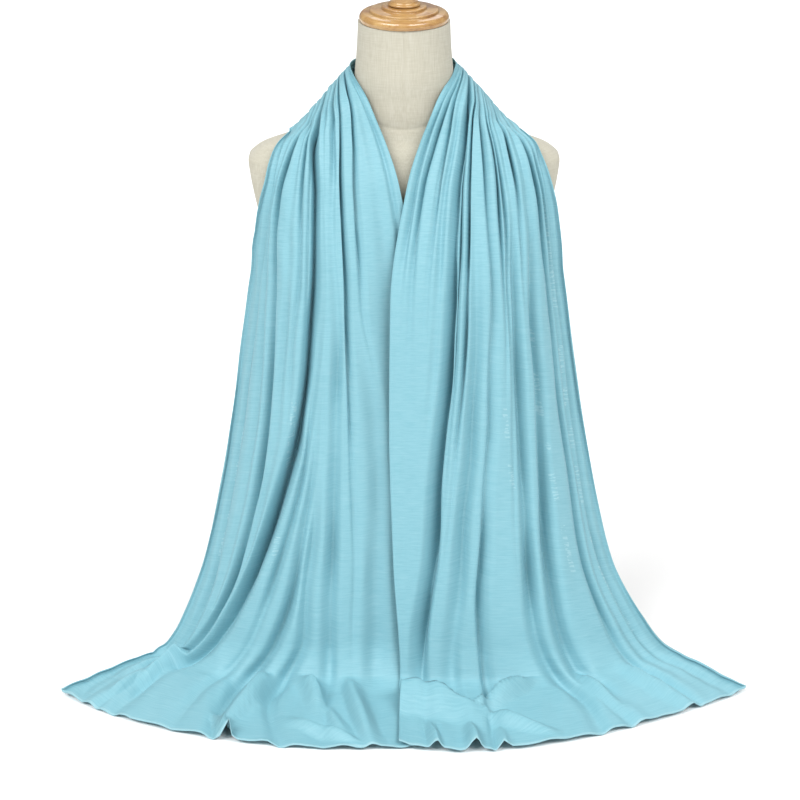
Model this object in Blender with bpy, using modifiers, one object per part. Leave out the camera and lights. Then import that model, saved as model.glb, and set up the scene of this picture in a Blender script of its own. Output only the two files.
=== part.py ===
"""Plain jersey hijab headscarf draped on a limbless dress form.

One long strip of jersey goes round the back of the neck. Both halves hang in front, the
half on the viewer's right laps over the other along the middle, and both ends lie out on
the surface that the form stands on. Metres, +Z up, the front looks along -Y, and the
origin is the middle of the form's flat base.
"""
import math

import bmesh
import bpy
import numpy as np

MM = 0.001

# Driving dimensions of the scarf
CLOTH_WALL = 1.2 * MM
SEAM_GAP = 0.3 * MM
FORM_CLEARANCE = 1.3 * MM
NAPE_CLEARANCE = 0.6 * MM
NAPE_BLEND = 25 * MM
COLUMNS_BETWEEN_FOLDS = 4
COLUMNS_AT_EDGES = 3
ROWS_BETWEEN_LEVELS = (4, 3, 3, 3, 3, 3, 2, 2, 3, 4)
NAPE_ROWS = 10
LEAST_MITRE = 0.7

# Driving dimensions of the form
ROUND_SIDES = 36
TURNED_SIDES = 28
CAP_TILT = math.radians(6)
NECK_TOP = 0.766
NECK_CENTRE_Y = -0.008

# Colours, as the cloth, linen and varnished wood look in daylight
AQUA = (0.33, 0.68, 0.77, 1.0)
LINEN = (0.72, 0.68, 0.58, 1.0)
HONEY_WOOD = (0.62, 0.33, 0.12, 1.0)

# Level sections of the form, from its base up
# height, half width, depth to the front, depth to the back, squareness of the corners
FORM_SECTIONS = (
    (0.000, 0.136, 0.090, 0.100, 2.3),
    (0.070, 0.146, 0.096, 0.108, 2.3),
    (0.150, 0.143, 0.094, 0.106, 2.3),
    (0.260, 0.116, 0.082, 0.088, 2.2),
    (0.350, 0.126, 0.088, 0.088, 2.2),
    (0.440, 0.146, 0.101, 0.094, 2.3),
    (0.500, 0.158, 0.099, 0.100, 2.5),
    (0.550, 0.172, 0.088, 0.099, 2.7),
    (0.590, 0.1790, 0.075, 0.090, 2.8),
    (0.608, 0.1790, 0.067, 0.082, 2.8),
    (0.621, 0.1680, 0.061, 0.074, 2.6),
    (0.639, 0.1320, 0.055, 0.066, 2.2),
    (0.655, 0.0900, 0.050, 0.059, 2.0),
    (0.680, 0.0630, 0.048, 0.053, 2.0),
    (0.710, 0.0555, 0.048, 0.050, 2.0),
    (0.740, 0.0530, 0.048, 0.048, 2.0),
    (0.766, 0.0518, 0.048, 0.048, 2.0),
)

# The flat arm plates lean out towards the shoulder
PLATE_LOW = 0.500
PLATE_HIGH = 0.606
PLATE_HALF_WIDTH_LOW = 0.153
PLATE_HALF_WIDTH_HIGH = 0.1775

# Levels of the cloth from the shoulder crest to the hem. At each one the cloth's outer
# surface runs through four places, from the inner edge to the outer edge (x, y, z)
LEFT_LEVELS = (
    ("crest",
     (-0.0590, 0.003, 0.7120), (-0.0800, 0.004, 0.6920),
     (-0.1010, 0.006, 0.6660), (-0.1300, 0.006, 0.6390)),
    ("collar",
     (-0.0435, -0.047, 0.6750), (-0.0700, -0.050, 0.6760),
     (-0.0960, -0.040, 0.6560), (-0.1330, -0.012, 0.6370)),
    ("yoke",
     (-0.0265, -0.060, 0.6420), (-0.0630, -0.066, 0.6450),
     (-0.1010, -0.061, 0.6410), (-0.1375, -0.040, 0.6310)),
    ("chest",
     (-0.0068, -0.088, 0.5897), (-0.0560, -0.097, 0.5900),
     (-0.1080, -0.090, 0.5870), (-0.1535, -0.062, 0.5830)),
    ("bust",
     (0.0120, -0.1060, 0.4700), (-0.0500, -0.126, 0.4740),
     (-0.1180, -0.120, 0.4690), (-0.1737, -0.050, 0.4527)),
    ("waist",
     (0.0140, -0.1100, 0.3230), (-0.0550, -0.134, 0.3240),
     (-0.1320, -0.124, 0.3180), (-0.1975, -0.048, 0.2957)),
    ("hip",
     (0.0160, -0.1180, 0.1680), (-0.0650, -0.140, 0.1680),
     (-0.1550, -0.124, 0.1600), (-0.2315, -0.048, 0.1340)),
    ("knee",
     (0.0180, -0.1240, 0.0720), (-0.0760, -0.143, 0.0700),
     (-0.1760, -0.124, 0.0640), (-0.2600, -0.048, 0.0550)),
    ("ankle",
     (0.0190, -0.1360, 0.0280), (-0.0810, -0.153, 0.0300),
     (-0.1900, -0.129, 0.0270), (-0.2790, -0.047, 0.0190)),
    ("floor",
     (0.0200, -0.1680, 0.0030), (-0.0870, -0.177, 0.0110),
     (-0.2020, -0.143, 0.0110), (-0.2990, -0.055, 0.0040)),
    ("hem",
     (0.0220, -0.2790, 0.0010), (-0.1230, -0.282, 0.0025),
     (-0.2700, -0.234, 0.0025), (-0.3975, -0.138, 0.0010)),
)
RIGHT_LEVELS = (
    ("crest",
     (0.0580, 0.003, 0.7130), (0.0800, 0.004, 0.6930), (0.1020, 0.006, 0.6670), (0.1340, 0.006, 0.6425)),
    ("collar",
     (0.0400, -0.049, 0.6770), (0.0690, -0.050, 0.6780),
     (0.0980, -0.040, 0.6580), (0.1380, -0.012, 0.6390)),
    ("yoke",
     (0.0222, -0.062, 0.6420), (0.0620, -0.066, 0.6450),
     (0.1050, -0.061, 0.6430), (0.1455, -0.040, 0.6330)),
    ("chest",
     (0.0043, -0.090, 0.5897), (0.0570, -0.098, 0.5900),
     (0.1120, -0.091, 0.5870), (0.1620, -0.062, 0.5830)),
    ("bust",
     (-0.0146, -0.127, 0.4712), (0.0480, -0.137, 0.4740),
     (0.1190, -0.122, 0.4690), (0.1805, -0.050, 0.4527)),
    ("waist",
     (-0.0159, -0.135, 0.3220), (0.0550, -0.145, 0.3240),
     (0.1330, -0.127, 0.3180), (0.2046, -0.048, 0.2957)),
    ("hip",
     (-0.0115, -0.140, 0.1670), (0.0700, -0.148, 0.1680),
     (0.1600, -0.127, 0.1600), (0.2400, -0.048, 0.1340)),
    ("knee",
     (-0.0050, -0.145, 0.0720), (0.0840, -0.150, 0.0700),
     (0.1900, -0.128, 0.0640), (0.2830, -0.048, 0.0550)),
    ("ankle",
     (-0.0030, -0.149, 0.0320), (0.0910, -0.156, 0.0300),
     (0.2070, -0.132, 0.0280), (0.3080, -0.050, 0.0190)),
    ("floor",
     (-0.0040, -0.172, 0.0130), (0.0980, -0.181, 0.0120),
     (0.2220, -0.148, 0.0110), (0.3300, -0.064, 0.0040)),
    ("hem",
     (-0.0050, -0.281, 0.0050), (0.1270, -0.285, 0.0035),
     (0.2700, -0.221, 0.0025), (0.3978, -0.130, 0.0010)),
)
NAPE_LEVELS = (
    ("nape left",
     (-0.0450, 0.040, 0.7180), (-0.0570, 0.047, 0.6960),
     (-0.0700, 0.054, 0.6700), (-0.0860, 0.064, 0.6430)),
    ("nape back",
     (0.0000, 0.053, 0.7220), (0.0000, 0.059, 0.6990), (0.0000, 0.066, 0.6730), (0.0000, 0.076, 0.6450)),
    ("nape right",
     (0.0450, 0.040, 0.7190), (0.0570, 0.047, 0.6970), (0.0700, 0.054, 0.6710), (0.0860, 0.064, 0.6440)),
)

# The valleys between the folds. Each one runs the whole length of the cloth and fades where
# its depth is zero. Each row: name, how far the valley lies from the middle at each of the
# eleven levels from crest to hem (mm), how deep it is there (mm), its half width towards the
# inner and the outer edge (mm), how soft its bottom is, and how far its lips lean out
LEFT_FOLDS = (
    ("neckline", (63, 50, 37, 17, 7, 8, 8, 8, 8, 8, 8),
     (2, 3, 4, 3, 0, 0, 0, 0, 0, 0, 0), 8, 9, 0.6, 0.0),
    ("inner slot", (69, 63, 58, 53, 44, 20, 19, 19, 19, 19, 19),
     (4, 7, 10, 12, 2, 0, 0, 0, 0, 0, 0), 7, 8, 0.35, 0.2),
    ("centre dip", (72, 68, 64, 61, 53, 31, 31, 32, 32, 31, 30),
     (0, 0, 0, 0, 0, 4, 6, 7, 5, 2, 0), 16, 14, 0.6, 0.0),
    ("long slot", (76, 74, 72, 69, 64, 59, 57, 56, 56, 56, 55),
     (5, 8, 10, 10, 10, 5, 2, 2, 1, 0, 0), 7, 8, 0.35, 0.0),
    ("soft trough", (81, 80, 79, 78, 75, 76, 83, 86, 88, 89, 90),
     (3, 4, 4, 3, 5, 8, 11, 10, 7, 3, 1), 12, 13, 0.5, 0.0),
    ("low inner", (84, 84, 84, 83, 82, 92, 109, 114, 122, 128, 124),
     (0, 0, 0, 0, 0, 0, 8, 9, 8, 5, 2), 9, 12, 0.4, 0.0),
    ("low outer", (87, 88, 89, 88, 88, 101, 124, 140, 157, 176, 207),
     (0, 0, 0, 0, 0, 2, 12, 14, 12, 7, 3), 9, 13, 0.4, 0.1),
    ("main valley", (91, 94, 95, 94, 95, 113, 163, 206, 229, 249, 318),
     (6, 10, 13, 14, 22, 24, 18, 15, 11, 7, 2), 10, 20, 0.4, 0.2),
    ("shoulder split", (97, 104, 107, 109, 120, 134, 176, 217, 238, 258, 327),
     (5, 8, 10, 8, 3, 0, 0, 0, 0, 0, 0), 7, 8, 0.4, 0.0),
    ("shoulder slot", (107, 117, 123, 137, 144, 157, 188, 226, 246, 266, 340),
     (5, 8, 10, 9, 9, 12, 12, 9, 6, 4, 2), 10, 13, 0.4, 0.0),
    ("outer curl", (121, 128, 132, 147, 167, 189, 221, 250, 269, 290, 385),
     (3, 4, 4, 4, 4, 5, 5, 5, 4, 2, 0), 8, 8, 0.5, 0.0),
)
RIGHT_FOLDS = (
    ("neckline", (62, 49, 35, 14, 0, -1, 0, 2, 3, 4, 5),
     (3, 6, 9, 9, 0, 0, 0, 0, 0, 0, 0), 7, 8, 0.4, 0.0),
    ("second slot", (68, 59, 49, 36, 22, 16, 13, 9, 9, 10, 12),
     (4, 7, 11, 8, 0, 0, 0, 0, 0, 0, 0), 7, 8, 0.4, 0.0),
    ("main valley", (75, 71, 65, 57, 49, 38, 27, 16, 16, 18, 20),
     (6, 10, 13, 15, 22, 21, 17, 13, 8, 1, 0), 9, 14, 0.4, 0.2),
    ("thin slot", (80, 79, 76, 72, 69, 58, 44, 34, 33, 34, 38),
     (5, 8, 9, 9, 11, 3, 0, 0, 0, 0, 0), 7, 7, 0.4, 0.0),
    ("belly dip", (85, 86, 86, 84, 82, 77, 64, 56, 54, 56, 64),
     (0, 0, 0, 0, 6, 11, 10, 7, 4, 1, 0), 11, 10, 0.4, 0.0),
    ("roll edge", (90, 92, 94, 97, 99, 97, 92, 92, 94, 97, 102),
     (5, 8, 9, 9, 5, 6, 11, 13, 11, 6, 2), 9, 9, 0.4, -0.1),
    ("wide valley", (97, 102, 105, 110, 122, 133, 142, 156, 168, 184, 215),
     (5, 8, 9, 9, 10, 11, 12, 11, 8, 5, 2), 10, 9, 0.4, 0.0),
    ("shoulder cut", (104, 112, 117, 123, 136, 145, 154, 168, 181, 198, 235),
     (5, 8, 9, 5, 0, 0, 0, 0, 0, 0, 0), 7, 7, 0.4, 0.0),
    ("outer valley", (111, 121, 128, 137, 149, 158, 169, 184, 198, 217, 257),
     (5, 8, 8, 7, 9, 15, 17, 14, 10, 7, 3), 9, 13, 0.4, 0.15),
    ("shoulder slot", (118, 130, 137, 148, 166, 184, 210, 243, 262, 283, 335),
     (5, 8, 9, 8, 7, 7, 9, 8, 6, 4, 2), 9, 9, 0.4, 0.0),
    ("outer curl", (127, 136, 142, 157, 175, 197, 230, 270, 293, 315, 380),
     (3, 3, 3, 3, 5, 5, 5, 5, 4, 3, 0), 7, 7, 0.5, 0.0),
)
NAPE_DEPTHS = (0.9, 0.7, 0.9)

# Folds that lie on the surface near the hem. Each row: name, from (x, y), to (x, y),
# height, half width towards the hem, half width away from the hem (all mm)
LEFT_FLOOR_RIDGES = (
    ("inner ripple", (-62, -165), (-38, -268), 6, 10, 14),
    ("hem crease", (-122, -250), (-62, -270), 4, 7, 12),
    ("corner hook", (-262, -82), (-300, -128), 9, 12, 14),
    ("long ripple", (-205, -150), (-228, -245), 5, 12, 12),
    ("outer ripple", (-318, -92), (-352, -165), 4, 10, 12),
)
RIGHT_FLOOR_RIDGES = (
    ("flap lip", (-12, -166), (72, -192), 13, 22, 9),
    ("pinched fold", (128, -160), (70, -194), 11, 12, 10),
    ("lower pinch", (66, -212), (150, -236), 9, 10, 10),
    ("hem roll", (6, -238), (108, -252), 8, 9, 10),
    ("outer flute", (192, -92), (258, -205), 9, 12, 12),
    ("corner flute", (245, -100), (322, -170), 6, 10, 12),
)


def smooth_curve(stations, values, places):
    """Monotone cubic curve through values at stations, read at places."""
    stations = np.asarray(stations, float)
    values = np.asarray(values, float)
    step = np.diff(stations)
    slope = np.diff(values, axis=0) / step.reshape((-1,) + (1,) * (values.ndim - 1))
    tangent = np.zeros_like(values)
    tangent[0] = slope[0]
    tangent[-1] = slope[-1]
    before = slope[:-1]
    after = slope[1:]
    same_way = before * after > 0
    mean = 2 * before * after / np.where(same_way, before + after, 1.0)
    tangent[1:-1] = np.where(same_way, mean, 0.0)
    place = np.clip(places, stations[0], stations[-1])
    index = np.clip(np.searchsorted(stations, place) - 1, 0, len(step) - 1)
    extra = (slice(None),) + (None,) * (values.ndim - 1)
    part = ((place - stations[index]) / step[index])[extra]
    length = step[index][extra]
    rise = 3 * part ** 2 - 2 * part ** 3
    lead = part ** 3 - 2 * part ** 2 + part
    trail = part ** 3 - part ** 2
    ends = values[index] * (1 - rise) + values[index + 1] * rise
    return ends + length * (lead * tangent[index] + trail * tangent[index + 1])


def form_section(height):
    """Half width, front, back and squareness of the form at the given heights."""
    table = np.array(FORM_SECTIONS)
    return smooth_curve(table[:, 0], table[:, 1:], np.asarray(height, float))


def form_level(points):
    """Zero on the form's surface, more than zero outside it."""
    half_width, front, back, square = np.moveaxis(form_section(points[..., 2].ravel()), -1, 0)
    shape = points.shape[:-1]
    half_width = half_width.reshape(shape)
    square = square.reshape(shape)
    y = points[..., 1] - NECK_CENTRE_Y * neck_share(points[..., 2])
    depth = np.where(y < 0, front.reshape(shape), back.reshape(shape))
    across = np.abs(points[..., 0] / half_width) ** square
    along = np.abs(y / depth) ** square
    return (across + along + 1e-12) ** (1 / square) - 1


def neck_share(height):
    """How far the neck has moved towards its own centre line at a height, from 0 to 1."""
    share = np.clip((np.asarray(height) - 0.60) / 0.10, 0, 1)
    return share * share * (3 - 2 * share)


def push_clear_of_form(points, clearance):
    """Move each point that is too near the form straight out of it."""
    probe = 0.5 * MM
    for _ in range(6):
        level = form_level(points)
        gradient = np.stack([
            (form_level(points + probe * axis) - form_level(points - probe * axis)) / (2 * probe)
            for axis in np.eye(3)
        ], axis=-1)
        size = np.linalg.norm(gradient, axis=-1) + 1e-9
        distance = level / size
        short = np.clip(clearance - distance, 0, 4 * MM)
        points = points + (short / size)[..., None] * gradient
    return points


def through_four(places, across):
    """The cubic that runs through four places at thirds of the way across."""
    t = np.broadcast_to(across, (len(places), np.shape(across)[-1]))[..., None]
    first, second, third, fourth = (places[:, k][:, None, :] for k in range(4))
    return (
        first * (1 - 3 * t) * (2 - 3 * t) * (1 - t) / 2
        + second * 9 * t * (2 - 3 * t) * (1 - t) / 2
        - third * 9 * t * (1 - 3 * t) * (1 - t) / 2
        + fourth * t * (1 - 3 * t) * (2 - 3 * t) / 2
    )


def scarf_levels():
    """All levels of the cloth from the left hem over the nape to the right hem."""
    return tuple(reversed(LEFT_LEVELS)) + NAPE_LEVELS + RIGHT_LEVELS


def level_lengths():
    """Length of cloth from the left hem to each level, measured along its middle."""
    places = np.array([level[1:] for level in scarf_levels()])
    middle = places.mean(axis=1)
    steps = np.linalg.norm(np.diff(middle, axis=0), axis=1)
    return np.concatenate([[0.0], np.cumsum(steps)])


def side_shares(levels, rows, side):
    """The share across the cloth, 0 to 1, at which each fold of one side runs at each level."""
    fine = np.linspace(0, 1, 201)
    places = np.array([level[1:] for level in levels])
    curves = side * through_four(places, fine)[..., 0]
    wanted = np.array([row[1] for row in rows]) * MM
    return np.array([[np.interp(x, curve, fine) for x, curve in zip(row, curves)] for row in wanted])


def fold_table():
    """Share across and depth of every fold at all levels, and its four shape values."""
    left_share = side_shares(LEFT_LEVELS, LEFT_FOLDS, -1)
    right_share = side_shares(RIGHT_LEVELS, RIGHT_FOLDS, 1)
    left_depth = np.array([row[2] for row in LEFT_FOLDS]) * MM
    right_depth = np.array([row[2] for row in RIGHT_FOLDS]) * MM
    way = np.linspace(0, 1, len(NAPE_LEVELS) + 2)[1:-1]
    nape_share = left_share[:, :1] * (1 - way) + right_share[:, :1] * way
    nape_depth = (left_depth[:, :1] * (1 - way) + right_depth[:, :1] * way) * np.array(NAPE_DEPTHS)
    share = np.concatenate([left_share[:, ::-1], nape_share, right_share], axis=1)
    depth = np.concatenate([left_depth[:, ::-1], nape_depth, right_depth], axis=1)
    left_shape = np.array([row[3:] for row in LEFT_FOLDS])
    right_shape = np.array([row[3:] for row in RIGHT_FOLDS])
    return share, depth, left_shape, right_shape


def valley(distance, inner, outer, soft):
    """A valley one deep with rounded bottom and convex lips that end level."""
    t = np.abs(np.where(distance < 0, distance / inner, distance / outer))
    rounded = (np.sqrt(t * t + soft * soft) - soft) / (np.sqrt(1 + soft * soft) - soft)
    return np.clip(1 - rounded, 0, 1) ** 2


def ridge_height(points, rows):
    """Height of the folds that lie on the surface, at each point."""
    height = np.zeros(points.shape[:-1])
    for name, start, end, high, hemward, backward in rows:
        start = np.array(start) * MM
        along = np.array(end) * MM - start
        length = np.linalg.norm(along)
        along = along / length
        toward_hem = np.array([along[1], -along[0]])
        if toward_hem[1] > 0:
            toward_hem = -toward_hem
        offset = points[..., :2] - start
        share = offset @ along / length
        off = offset @ toward_hem
        half = np.where(off > 0, hemward, backward) * MM
        profile = np.clip(1 - (off / half) ** 2, 0, 1) ** 1.5
        taper = np.clip(1 - (2 * share - 1) ** 4, 0, 1)
        height = np.maximum(height, high * MM * profile * taper)
    return height


def column_shares(fold_share, places, lengths):
    """Shares across the cloth for each row: every fold keeps its own column all the way."""
    knots = smooth_curve(lengths, fold_share.T, places)
    ends = np.zeros((len(places), 1))
    knots = np.concatenate([ends, knots, ends + 1], axis=1)
    counts = [COLUMNS_BETWEEN_FOLDS] * (knots.shape[1] - 1)
    counts[0] = counts[-1] = COLUMNS_AT_EDGES
    shares = [knots[:, :1]]
    for k, count in enumerate(counts):
        part = np.arange(1, count + 1) / count
        shares.append(knots[:, k:k + 1] * (1 - part) + knots[:, k + 1:k + 2] * part)
    return np.concatenate(shares, axis=1)


def plain_cloth(lengths, places, shares):
    """The cloth without its folds, at the given lengths and shares across."""
    levels = np.array([level[1:] for level in scarf_levels()])
    corner = smooth_curve(lengths, levels, places)
    return through_four(corner, shares)


def scarf_surface(places):
    """The middle of the cloth: a grid of points at the given lengths from the left hem."""
    lengths = level_lengths()
    fold_share, fold_depth, left_shape, right_shape = fold_table()
    places = np.clip(places, 0.0, lengths[-1])
    shares = column_shares(fold_share, places, lengths)
    base = plain_cloth(lengths, places, shares)
    step = 2 * MM
    before = plain_cloth(lengths, np.clip(places - step, 0, lengths[-1]), shares)
    after = plain_cloth(lengths, np.clip(places + step, 0, lengths[-1]), shares)
    across_way = unit(np.gradient(base, axis=1))
    outward = unit(np.cross(after - before, across_way))
    steps = np.linalg.norm(np.diff(base, axis=1), axis=-1)
    walked = np.concatenate([np.zeros((len(places), 1)), np.cumsum(steps, axis=1)], axis=1)
    left_crest = lengths[len(LEFT_LEVELS) - 1]
    right_crest = lengths[-len(RIGHT_LEVELS)]
    rightness = np.clip((places - left_crest) / (right_crest - left_crest), 0, 1)[:, None]
    dip_power = 4
    dips = np.zeros_like(walked)
    shift = np.zeros_like(walked)
    for k in range(len(fold_share)):
        column = COLUMNS_AT_EDGES + k * COLUMNS_BETWEEN_FOLDS
        depth = smooth_curve(lengths, fold_depth[k], places)[:, None]
        shape = left_shape[k] * (1 - rightness) + right_shape[k] * rightness
        inner, outer, soft, lean = (shape[:, j:j + 1] for j in range(4))
        offset = walked - walked[:, column:column + 1]
        dip = depth * valley(offset, inner * MM, outer * MM, soft)
        dips += dip ** dip_power
        shift += lean * dip
    dips = dips ** (1 / dip_power)
    points = base - dips[..., None] * outward + shift[..., None] * across_way
    on_left = (places < (left_crest + right_crest) / 2)[:, None]
    floor_share = np.clip((0.030 - base[..., 2]) / 0.015, 0, 1)
    left_height = ridge_height(points, LEFT_FLOOR_RIDGES)
    right_height = ridge_height(points, RIGHT_FLOOR_RIDGES)
    points[..., 2] += np.where(on_left, left_height, right_height) * floor_share
    past_crest = np.minimum(places - left_crest, right_crest - places)[:, None]
    on_nape = np.clip(past_crest / NAPE_BLEND, 0, 1)
    clearance = CLOTH_WALL / 2 + FORM_CLEARANCE * (1 - on_nape) + NAPE_CLEARANCE * on_nape
    clear = push_clear_of_form(points, clearance)
    points = np.where((points[..., 2] > 0.01)[..., None], clear, points)
    points[..., 2] = np.maximum(points[..., 2], CLOTH_WALL / 2)
    return points


def unit(vectors):
    return vectors / np.linalg.norm(vectors, axis=-1, keepdims=True)


def cloth_wall(name, places):
    """A closed wall, CLOTH_WALL thick, on both sides of the cloth's middle."""
    step = 2 * MM
    points = scarf_surface(places)
    down_way = scarf_surface(places + step) - scarf_surface(places - step)
    run = unit(np.diff(points, axis=1))
    before = np.concatenate([run[:, :1], run], axis=1)
    after = np.concatenate([run, run[:, -1:]], axis=1)
    outward = unit(np.cross(down_way, unit(before + after)))
    mitre = np.clip(np.linalg.norm(before + after, axis=-1, keepdims=True) / 2, LEAST_MITRE, 1)
    outer = points + outward / mitre * CLOTH_WALL / 2
    inner = points - outward / mitre * CLOTH_WALL / 2
    inner[..., 2] = np.maximum(inner[..., 2], 0.0)
    rows, cols = points.shape[:2]
    index = np.arange(rows * cols).reshape(rows, cols)
    a, b = index[:-1, :-1].ravel(), index[:-1, 1:].ravel()
    c, d = index[1:, 1:].ravel(), index[1:, :-1].ravel()
    outer_faces = np.concatenate([np.stack([a, d, c], axis=1), np.stack([a, c, b], axis=1)])
    inner_faces = outer_faces[:, ::-1] + rows * cols
    loop = np.concatenate([index[0, :-1], index[:-1, -1], index[-1, :0:-1], index[:0:-1, 0]])
    ahead = np.roll(loop, -1)
    rim = np.stack([loop, ahead, ahead + rows * cols, loop + rows * cols], axis=1)
    rim_faces = np.concatenate([rim[:, [0, 1, 2]], rim[:, [0, 2, 3]]])
    faces = np.concatenate([outer_faces, inner_faces, rim_faces])
    mesh = bpy.data.meshes.new(name)
    corners = np.concatenate([outer.reshape(-1, 3), inner.reshape(-1, 3)])
    mesh.from_pydata(corners.tolist(), [], faces.tolist())
    return mesh


def row_places(start, end, counts, lengths):
    """Row places between two levels, with the given number of rows in each stretch."""
    places = []
    way = 1 if end > start else -1
    for level, count in zip(range(start, end, way), counts):
        stretch = np.linspace(lengths[level], lengths[level + way], count + 1)
        places.extend(stretch[:-1])
    places.append(lengths[end])
    return np.sort(np.array(places))


def add_object(name, mesh, material, collection):
    thing = bpy.data.objects.new(name, mesh)
    mesh.materials.append(material)
    collection.objects.link(thing)
    return thing


def make_material(name, colour, roughness):
    material = bpy.data.materials.new(name)
    material.use_nodes = True
    shader = material.node_tree.nodes["Principled BSDF"]
    shader.inputs["Base Color"].default_value = colour
    shader.inputs["Roughness"].default_value = roughness
    shader.inputs["Metallic"].default_value = 0.0
    return material


def make_scarf(collection, jersey):
    """The left fall, the nape and the right fall, a seam gap apart at the crests."""
    lengths = level_lengths()
    falls = len(LEFT_LEVELS)
    left_crest = lengths[falls - 1]
    right_crest = lengths[falls + len(NAPE_LEVELS)]
    left = row_places(falls - 1, 0, ROWS_BETWEEN_LEVELS, lengths)
    left[-1] = left_crest - SEAM_GAP / 2
    right = row_places(falls + len(NAPE_LEVELS), len(lengths) - 1, ROWS_BETWEEN_LEVELS, lengths)
    right[0] = right_crest + SEAM_GAP / 2
    nape = np.linspace(left_crest + SEAM_GAP / 2, right_crest - SEAM_GAP / 2, NAPE_ROWS + 1)
    for name, places in (("scarf_left_fall", left), ("scarf_nape", nape), ("scarf_right_fall", right)):
        mesh = cloth_wall(name, places)
        mesh.shade_smooth()
        add_object(name, mesh, jersey, collection)


def make_torso(collection, linen):
    """A loft through the form's sections, with flat arm plates and a tilted neck top."""
    heights = np.concatenate([
        np.linspace(0.0, 0.50, 9), np.linspace(0.53, 0.606, 4), np.linspace(0.614, 0.682, 8),
        np.linspace(0.70, NECK_TOP, 4),
    ])
    sides = ROUND_SIDES
    angle = 2 * np.pi * (np.arange(sides) + 0.5) / sides
    section = form_section(heights)
    half_width, front, back, square = (section[:, k][:, None] for k in range(4))
    depth = np.where(np.sin(angle) < 0, front, back)
    power = 2 / square
    x = half_width * np.sign(np.cos(angle)) * np.abs(np.cos(angle)) ** power
    y = depth * np.sign(np.sin(angle)) * np.abs(np.sin(angle)) ** power
    plate_share = np.clip((heights - PLATE_LOW) / (PLATE_HIGH - PLATE_LOW), 0, 1)
    plate = PLATE_HALF_WIDTH_LOW + (PLATE_HALF_WIDTH_HIGH - PLATE_HALF_WIDTH_LOW) * plate_share
    has_plate = (heights >= PLATE_LOW) & (heights < PLATE_HIGH + 0.02)
    limit = np.where(has_plate, plate, 1.0)[:, None]
    x = np.clip(x, -limit, limit)
    y = y + NECK_CENTRE_Y * neck_share(heights)[:, None]
    tilt = math.tan(CAP_TILT) * np.clip((heights - 0.70) / (NECK_TOP - 0.70), 0, 1)[:, None]
    z = heights[:, None] + tilt * (y - NECK_CENTRE_Y)
    mesh = bpy.data.meshes.new("form_torso")
    shell = bmesh.new()
    rings = [[shell.verts.new(p) for p in zip(x[k], y[k], z[k])] for k in range(len(heights))]
    for low, high in zip(rings[:-1], rings[1:]):
        for k in range(sides):
            n = (k + 1) % sides
            shell.faces.new((low[k], low[n], high[n], high[k]))
    shell.faces.new(rings[0][::-1])
    shell.faces.new(rings[-1])
    shell.to_mesh(mesh)
    shell.free()
    mesh.shade_smooth()
    mesh.set_sharp_from_angle(angle=math.radians(40))
    return add_object("form_torso", mesh, linen, collection)


def turned(name, profile, material, collection, place):
    """A profile of (radius, height), given top to bottom, turned about its own axis."""
    mesh = bpy.data.meshes.new(name)
    points = [(radius, 0.0, height) for radius, height in profile]
    edges = [(k, k + 1) for k in range(len(points) - 1)]
    mesh.from_pydata(points, edges, [])
    thing = add_object(name, mesh, material, collection)
    screw = thing.modifiers.new("turned", "SCREW")
    screw.axis = "Z"
    screw.steps = TURNED_SIDES
    screw.render_steps = TURNED_SIDES
    screw.use_merge_vertices = True
    screw.merge_threshold = 0.0001
    screw.use_smooth_shade = True
    thing.location = place
    thing.rotation_euler = (CAP_TILT, 0.0, 0.0)
    return thing


def arc(centre_radius, centre_height, radius, start, end, steps):
    """Points of a round moulding, from one angle to the other, in degrees."""
    angles = np.radians(np.linspace(start, end, steps + 1))
    return [(centre_radius + radius * math.cos(a), centre_height + radius * math.sin(a)) for a in angles]


def make_cap(collection, wood):
    """The turned cap with its two steps, and the knob that stands on it."""
    up = np.array([0.0, -math.sin(CAP_TILT), math.cos(CAP_TILT)])
    neck_top = np.array([0.0, NECK_CENTRE_Y, NECK_TOP])
    cap_height = 0.0170
    cap = [(0.0, cap_height), (0.0240, cap_height)]
    cap += [(0.0255, cap_height - 0.0010), (0.0255, cap_height - 0.0030)]
    cap += [(0.0375, 0.0130), (0.0390, 0.0120), (0.0390, 0.0100)]
    cap += arc(0.0440, 0.0035, 0.0065, 70, 0, 4)
    cap += [(0.0500, 0.0), (0.0, 0.0)]
    turned("neck_cap", cap, wood, collection, neck_top + up * SEAM_GAP)
    knob = [(0.0, 0.0470)] + arc(0.0, 0.0270, 0.0200, 80, -30, 7)
    knob += [(0.0150, 0.0120), (0.0150, 0.0060), (0.0185, 0.0015), (0.0185, 0.0), (0.0, 0.0)]
    turned("cap_knob", knob, wood, collection, neck_top + up * (cap_height + 2 * SEAM_GAP))


def main():
    for thing in list(bpy.data.objects):
        bpy.data.objects.remove(thing, do_unlink=True)
    collection = bpy.data.collections.new("draped_headscarf")
    bpy.context.scene.collection.children.link(collection)
    jersey = make_material("aqua_jersey", AQUA, 0.75)
    linen = make_material("beige_linen", LINEN, 0.85)
    wood = make_material("honey_wood", HONEY_WOOD, 0.3)
    make_torso(collection, linen)
    make_cap(collection, wood)
    make_scarf(collection, jersey)


main()
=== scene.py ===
import math

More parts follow.
